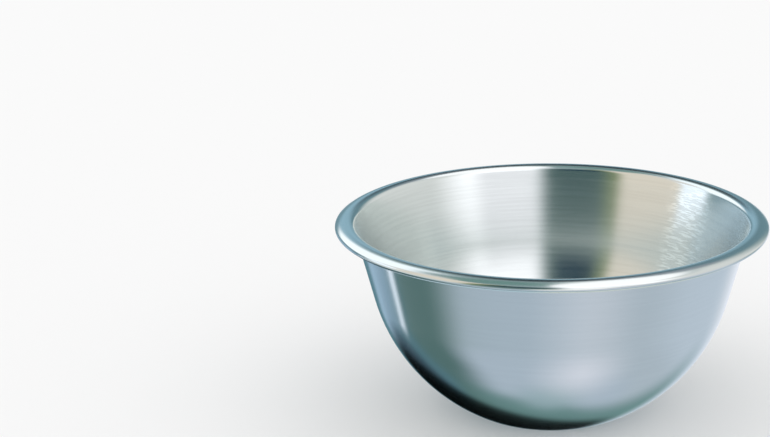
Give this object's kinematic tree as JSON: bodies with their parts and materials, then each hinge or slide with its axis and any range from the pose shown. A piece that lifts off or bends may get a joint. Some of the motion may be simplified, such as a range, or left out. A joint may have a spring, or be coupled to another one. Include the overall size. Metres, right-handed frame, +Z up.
{
  "type": "mixing bowl",
  "caption": "Round sheet-steel mixing bowl: flat base, deep dished body, straight flaring upper wall and a hollow rolled rim.",
  "frame": {"origin": "centre of the flat base's underside, where the bowl stands", "axes": "+Z up the bowl's axis, out of its mouth; X and Y are free, because the bowl is a body of revolution"},
  "size_m": [0.3, 0.3, 0.138],
  "materials": {
    "steel": "fine concentric brushing"
  },
  "bodies": {
    "root": {"bowl": "steel"}
  },
  "joints": []
}
